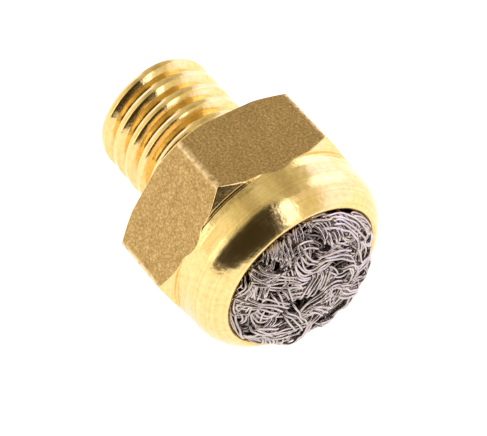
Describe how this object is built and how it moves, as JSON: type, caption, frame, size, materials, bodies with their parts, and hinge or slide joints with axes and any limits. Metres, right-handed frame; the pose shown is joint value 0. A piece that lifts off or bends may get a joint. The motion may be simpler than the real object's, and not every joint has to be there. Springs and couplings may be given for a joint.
{
  "type": "pneumatic muffler",
  "caption": "Small brass exhaust silencer with a threaded shank, a hexagon and a rolled crown that holds a dome of pressed stainless wire.",
  "frame": {"origin": "on the axis, in the plane of the hexagon's face that seats on the valve port", "axes": "+X along the axis from the thread towards the wire dome; +Z is the outward normal of one hexagon flat, and the part lies on the opposite flat; hexagon corners lie on +Y and -Y"},
  "size_m": [0.0111, 0.0092, 0.008],
  "materials": {
    "brass": "drawn bar flats, bright turned crown and thread",
    "steel_wire": "knitted wire, 0.1 mm, slightly dull"
  },
  "bodies": {
    "root": {"body": "brass", "wire_ply_1": "steel_wire", "wire_ply_2": "steel_wire", "wire_ply_3": "steel_wire", "wire_ply_4": "steel_wire", "wire_dome": "steel_wire"}
  },
  "joints": []
}
